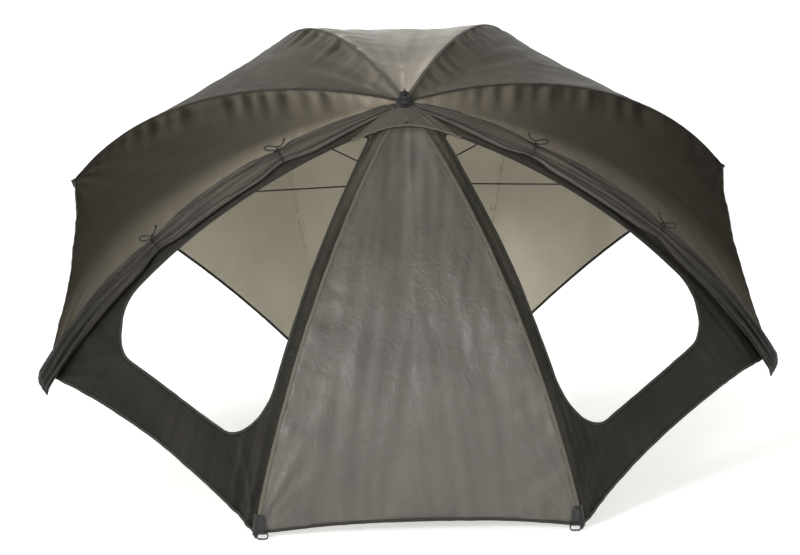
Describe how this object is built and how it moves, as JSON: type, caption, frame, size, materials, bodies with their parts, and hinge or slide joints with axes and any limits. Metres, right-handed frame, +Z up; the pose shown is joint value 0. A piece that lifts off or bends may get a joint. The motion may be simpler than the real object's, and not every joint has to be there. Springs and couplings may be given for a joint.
{
  "type": "ground blind",
  "caption": "Umbrella-type fabric ground blind leaning forward on a ground spike, with ribs, a sliding runner, corner windows, rolled covers and a rear wall.",
  "frame": {"origin": "on the ground, at the middle of the whole object's box", "axes": "+X to the right of somebody looking at the front, +Y to the rear, +Z up"},
  "size_m": [2.3629, 1.9508, 1.4238],
  "materials": {
    "front_cloth": "woven polyester, satin, grey-olive",
    "side_cloth": "woven polyester, satin, dark olive-brown",
    "rear_cloth": "woven polyester, beige lining side",
    "wall_cloth": "woven polyester, beige",
    "cover_cloth": "woven polyester, rolled",
    "tie_cord": "braided cord",
    "black_plastic": "moulded nylon",
    "rib_rod": "pultruded fibreglass",
    "stretcher_steel": "black anodised",
    "link_plastic": "moulded nylon on polyester web",
    "pole_tube": "black anodised",
    "plated_steel": "zinc plated"
  },
  "bodies": {
    "canopy_shaft": {"upper_pole": "pole_tube", "crown_notch": "black_plastic", "crown_wire": "plated_steel", "crown_washer": "plated_steel", "crown_cap": "black_plastic", "crown_stud": "plated_steel", "clamp_collar": "black_plastic"},
    "clamp_knob": {"clamp_knob": "black_plastic"},
    "lower_pole": {"lower_pole": "pole_tube", "pole_tongue": "black_plastic"},
    "ground_spike": {"spike_fork": "black_plastic", "ground_spike": "plated_steel"},
    "tilt_knob": {"tilt_knob": "black_plastic"},
    "runner": {"runner": "black_plastic"},
    "runner_button": {"runner_button": "black_plastic"},
    "gore_front": {"gore_front": "front_cloth"},
    "gore_window_left": {"gore_window_left": "front_cloth"},
    "gore_window_right": {"gore_window_right": "front_cloth"},
    "gore_side_left": {"gore_side_left": "side_cloth"},
    "gore_side_right": {"gore_side_right": "side_cloth"},
    "gore_rear_left": {"gore_rear_left": "rear_cloth"},
    "gore_rear_right": {"gore_rear_right": "rear_cloth"},
    "gore_rear": {"gore_rear": "rear_cloth"},
    "rib_front_left": {"rib_front_left": "rib_rod", "rib_fittings_front_left": "black_plastic", "peg_link_front_left": "link_plastic"},
    "rib_front_right": {"rib_front_right": "rib_rod", "rib_fittings_front_right": "black_plastic", "peg_link_front_right": "link_plastic"},
    "rib_mid_front_left": {"rib_mid_front_left": "rib_rod", "rib_fittings_mid_front_left": "black_plastic", "window_cover_left": "cover_cloth", "cover_tie_left_upper": "tie_cord", "cover_tie_left_lower": "tie_cord"},
    "rib_mid_front_right": {"rib_mid_front_right": "rib_rod", "rib_fittings_mid_front_right": "black_plastic", "window_cover_right": "cover_cloth", "cover_tie_right_upper": "tie_cord", "cover_tie_right_lower": "tie_cord"},
    "rib_mid_rear_left": {"rib_mid_rear_left": "rib_rod", "rib_fittings_mid_rear_left": "black_plastic"},
    "rib_mid_rear_right": {"rib_mid_rear_right": "rib_rod", "rib_fittings_mid_rear_right": "black_plastic"},
    "rib_rear_left": {"rib_rear_left": "rib_rod", "rib_fittings_rear_left": "black_plastic"},
    "rib_rear_right": {"rib_rear_right": "rib_rod", "rib_fittings_rear_right": "black_plastic"},
    "stretcher_front_left": {"stretcher_front_left": "stretcher_steel"},
    "stretcher_front_right": {"stretcher_front_right": "stretcher_steel"},
    "stretcher_mid_front_left": {"stretcher_mid_front_left": "stretcher_steel"},
    "stretcher_mid_front_right": {"stretcher_mid_front_right": "stretcher_steel"},
    "stretcher_mid_rear_left": {"stretcher_mid_rear_left": "stretcher_steel"},
    "stretcher_mid_rear_right": {"stretcher_mid_rear_right": "stretcher_steel"},
    "stretcher_rear_left": {"stretcher_rear_left": "stretcher_steel"},
    "stretcher_rear_right": {"stretcher_rear_right": "stretcher_steel"},
    "wall_rear": {"wall_rear": "wall_cloth", "peg_links_rear": "link_plastic"},
    "wall_corner_left": {"wall_corner_left": "wall_cloth"},
    "wall_corner_right": {"wall_corner_right": "wall_cloth"}
  },
  "joints": [
    {"name": "canopy_fold", "type": "hinge", "parent": "canopy_shaft", "child": "gore_rear", "pos_m": [0, -0.35748, 1.21884], "axis": [-1, 0, 0], "range_deg": [0, 57.3], "deforming": ["gore_rear"]},
    {"name": "gore_front_fold", "type": "hinge", "parent": "canopy_shaft", "child": "gore_front", "pos_m": [0, -0.39143, 1.19647], "axis": [1, 0, 0], "range_deg": [0, 57.3], "deforming": ["gore_front"]},
    {"name": "gore_window_left_fold", "type": "hinge", "parent": "canopy_shaft", "child": "gore_window_left", "pos_m": [-0.01437, -0.38646, 1.19975], "axis": [0.7071, -0.5905, -0.389], "range_deg": [0, 57.3], "deforming": ["gore_window_left"]},
    {"name": "gore_window_right_fold", "type": "hinge", "parent": "canopy_shaft", "child": "gore_window_right", "pos_m": [0.01437, -0.38646, 1.19975], "axis": [0.7071, 0.5905, 0.389], "range_deg": [0, 57.3], "deforming": ["gore_window_right"]},
    {"name": "gore_side_left_fold", "type": "hinge", "parent": "canopy_shaft", "child": "gore_side_left", "pos_m": [-0.02032, -0.37446, 1.20766], "axis": [0, -0.835, -0.5502], "range_deg": [0, 57.3], "deforming": ["gore_side_left"]},
    {"name": "gore_side_right_fold", "type": "hinge", "parent": "canopy_shaft", "child": "gore_side_right", "pos_m": [0.02032, -0.37446, 1.20766], "axis": [0, 0.835, 0.5502], "range_deg": [0, 57.3], "deforming": ["gore_side_right"]},
    {"name": "gore_rear_left_fold", "type": "hinge", "parent": "canopy_shaft", "child": "gore_rear_left", "pos_m": [-0.01437, -0.36246, 1.21557], "axis": [-0.7071, -0.5905, -0.389], "range_deg": [0, 57.3], "deforming": ["gore_rear_left"]},
    {"name": "gore_rear_right_fold", "type": "hinge", "parent": "canopy_shaft", "child": "gore_rear_right", "pos_m": [0.01437, -0.36246, 1.21557], "axis": [-0.7071, 0.5905, 0.389], "range_deg": [0, 57.3], "deforming": ["gore_rear_right"]},
    {"name": "rib_front_left_fold", "type": "hinge", "parent": "canopy_shaft", "child": "rib_front_left", "pos_m": [-0.00842, -0.39143, 1.19647], "axis": [0.9239, -0.3196, -0.2105], "range_deg": [0, 57.3]},
    {"name": "rib_front_right_fold", "type": "hinge", "parent": "canopy_shaft", "child": "rib_front_right", "pos_m": [0.00842, -0.39143, 1.19647], "axis": [0.9239, 0.3196, 0.2105], "range_deg": [0, 57.3]},
    {"name": "rib_mid_front_left_fold", "type": "hinge", "parent": "canopy_shaft", "child": "rib_mid_front_left", "pos_m": [-0.02032, -0.38149, 1.20303], "axis": [0.3827, -0.7715, -0.5083], "range_deg": [0, 57.3]},
    {"name": "rib_mid_front_right_fold", "type": "hinge", "parent": "canopy_shaft", "child": "rib_mid_front_right", "pos_m": [0.02032, -0.38149, 1.20303], "axis": [0.3827, 0.7715, 0.5083], "range_deg": [0, 57.3]},
    {"name": "rib_mid_rear_left_fold", "type": "hinge", "parent": "canopy_shaft", "child": "rib_mid_rear_left", "pos_m": [-0.02032, -0.36743, 1.21229], "axis": [-0.3827, -0.7715, -0.5083], "range_deg": [0, 57.3]},
    {"name": "rib_mid_rear_right_fold", "type": "hinge", "parent": "canopy_shaft", "child": "rib_mid_rear_right", "pos_m": [0.02032, -0.36743, 1.21229], "axis": [-0.3827, 0.7715, 0.5083], "range_deg": [0, 57.3]},
    {"name": "rib_rear_left_fold", "type": "hinge", "parent": "canopy_shaft", "child": "rib_rear_left", "pos_m": [-0.00842, -0.35748, 1.21884], "axis": [-0.9239, -0.3196, -0.2105], "range_deg": [0, 57.3]},
    {"name": "rib_rear_right_fold", "type": "hinge", "parent": "canopy_shaft", "child": "rib_rear_right", "pos_m": [0.00842, -0.35748, 1.21884], "axis": [-0.9239, 0.3196, 0.2105], "range_deg": [0, 57.3]},
    {"name": "stretcher_front_left_turn", "type": "hinge", "parent": "rib_front_left", "child": "stretcher_front_left", "pos_m": [-0.23642, -0.77007, 0.77069], "axis": [0.9239, -0.3196, -0.2105], "range_deg": [-113.03, 0]},
    {"name": "stretcher_front_right_turn", "type": "hinge", "parent": "rib_front_right", "child": "stretcher_front_right", "pos_m": [0.23642, -0.77007, 0.77069], "axis": [0.9239, 0.3196, 0.2105], "range_deg": [-113.03, 0]},
    {"name": "stretcher_mid_front_left_turn", "type": "hinge", "parent": "rib_mid_front_left", "child": "stretcher_mid_front_left", "pos_m": [-0.57077, -0.49088, 0.95464], "axis": [0.3827, -0.7715, -0.5083], "range_deg": [-113.03, 0]},
    {"name": "stretcher_mid_front_right_turn", "type": "hinge", "parent": "rib_mid_front_right", "child": "stretcher_mid_front_right", "pos_m": [0.57077, -0.49088, 0.95464], "axis": [0.3827, 0.7715, 0.5083], "range_deg": [-113.03, 0]},
    {"name": "stretcher_mid_rear_left_turn", "type": "hinge", "parent": "rib_mid_rear_left", "child": "stretcher_mid_rear_left", "pos_m": [-0.57077, -0.09604, 1.21479], "axis": [-0.3827, -0.7715, -0.5083], "range_deg": [-113.03, 0]},
    {"name": "stretcher_mid_rear_right_turn", "type": "hinge", "parent": "rib_mid_rear_right", "child": "stretcher_mid_rear_right", "pos_m": [0.57077, -0.09604, 1.21479], "axis": [-0.3827, 0.7715, 0.5083], "range_deg": [-113.03, 0]},
    {"name": "stretcher_rear_left_turn", "type": "hinge", "parent": "rib_rear_left", "child": "stretcher_rear_left", "pos_m": [-0.23642, 0.18316, 1.39875], "axis": [-0.9239, -0.3196, -0.2105], "range_deg": [-113.03, 0]},
    {"name": "stretcher_rear_right_turn", "type": "hinge", "parent": "rib_rear_right", "child": "stretcher_rear_right", "pos_m": [0.23642, 0.18316, 1.39875], "axis": [-0.9239, 0.3196, 0.2105], "range_deg": [-113.03, 0]},
    {"name": "runner_slide", "type": "slide", "parent": "canopy_shaft", "child": "runner", "axis": [0, 0.5502, -0.835], "range_m": [0, 0.8512]},
    {"name": "wall_rear_fold", "type": "hinge", "parent": "gore_rear", "child": "wall_rear", "pos_m": [0, 0.96681, 1.27097], "axis": [-1, 0, 0], "range_deg": [0, 85.76], "deforming": ["wall_rear"]},
    {"name": "wall_corner_left_fold", "type": "hinge", "parent": "gore_rear_left", "child": "wall_corner_left", "pos_m": [-0.8166, 0.68436, 1.08487], "axis": [-0.7071, -0.5905, -0.389], "range_deg": [0, 87.4], "deforming": ["wall_corner_left"]},
    {"name": "wall_corner_right_fold", "type": "hinge", "parent": "gore_rear_right", "child": "wall_corner_right", "pos_m": [0.8166, 0.68436, 1.08487], "axis": [-0.7071, 0.5905, 0.389], "range_deg": [0, 87.4], "deforming": ["wall_corner_right"]},
    {"name": "pole_extend", "type": "slide", "parent": "canopy_shaft", "child": "lower_pole", "axis": [0, 0.5502, -0.835], "range_m": [0, 0.25]},
    {"name": "clamp_knob_turn", "type": "hinge", "parent": "canopy_shaft", "child": "clamp_knob", "pos_m": [0, 0.30163, 0.18153], "axis": [1, 0, 0], "range_deg": [0, 180]},
    {"name": "spike_tilt", "type": "hinge", "parent": "lower_pole", "child": "ground_spike", "pos_m": [0, 0.32241, 0.15], "axis": [1, 0, 0], "range_deg": [-20, 33.38]},
    {"name": "tilt_knob_turn", "type": "hinge", "parent": "ground_spike", "child": "tilt_knob", "pos_m": [0, 0.32241, 0.15], "axis": [1, 0, 0], "range_deg": [0, 180]},
    {"name": "runner_button_press", "type": "slide", "parent": "runner", "child": "runner_button", "axis": [-1, 0, 0], "range_m": [0, 0.0025], "stiffness_N_per_m": 400, "springref_m": -0.003}
  ],
  "couplings": [
    {"joint": "gore_front_fold", "follows": "canopy_fold", "ratio": 1},
    {"joint": "gore_window_left_fold", "follows": "canopy_fold", "ratio": 1},
    {"joint": "gore_window_right_fold", "follows": "canopy_fold", "ratio": 1},
    {"joint": "gore_side_left_fold", "follows": "canopy_fold", "ratio": 1},
    {"joint": "gore_side_right_fold", "follows": "canopy_fold", "ratio": 1},
    {"joint": "gore_rear_left_fold", "follows": "canopy_fold", "ratio": 1},
    {"joint": "gore_rear_right_fold", "follows": "canopy_fold", "ratio": 1},
    {"joint": "rib_front_left_fold", "follows": "canopy_fold", "ratio": 1},
    {"joint": "rib_front_right_fold", "follows": "canopy_fold", "ratio": 1},
    {"joint": "rib_mid_front_left_fold", "follows": "canopy_fold", "ratio": 1},
    {"joint": "rib_mid_front_right_fold", "follows": "canopy_fold", "ratio": 1},
    {"joint": "rib_mid_rear_left_fold", "follows": "canopy_fold", "ratio": 1},
    {"joint": "rib_mid_rear_right_fold", "follows": "canopy_fold", "ratio": 1},
    {"joint": "rib_rear_left_fold", "follows": "canopy_fold", "ratio": 1},
    {"joint": "rib_rear_right_fold", "follows": "canopy_fold", "ratio": 1},
    {"joint": "stretcher_front_left_turn", "follows": "canopy_fold", "ratio": -1.9724},
    {"joint": "stretcher_front_right_turn", "follows": "canopy_fold", "ratio": -1.9724},
    {"joint": "stretcher_mid_front_left_turn", "follows": "canopy_fold", "ratio": -1.9724},
    {"joint": "stretcher_mid_front_right_turn", "follows": "canopy_fold", "ratio": -1.9724},
    {"joint": "stretcher_mid_rear_left_turn", "follows": "canopy_fold", "ratio": -1.9724},
    {"joint": "stretcher_mid_rear_right_turn", "follows": "canopy_fold", "ratio": -1.9724},
    {"joint": "stretcher_rear_left_turn", "follows": "canopy_fold", "ratio": -1.9724},
    {"joint": "stretcher_rear_right_turn", "follows": "canopy_fold", "ratio": -1.9724},
    {"joint": "runner_slide", "follows": "canopy_fold", "m_per_rad": 0.85105},
    {"joint": "wall_rear_fold", "follows": "canopy_fold", "ratio": 1.4964},
    {"joint": "wall_corner_left_fold", "follows": "canopy_fold", "ratio": 1.5252},
    {"joint": "wall_corner_right_fold", "follows": "canopy_fold", "ratio": 1.5252}
  ]
}
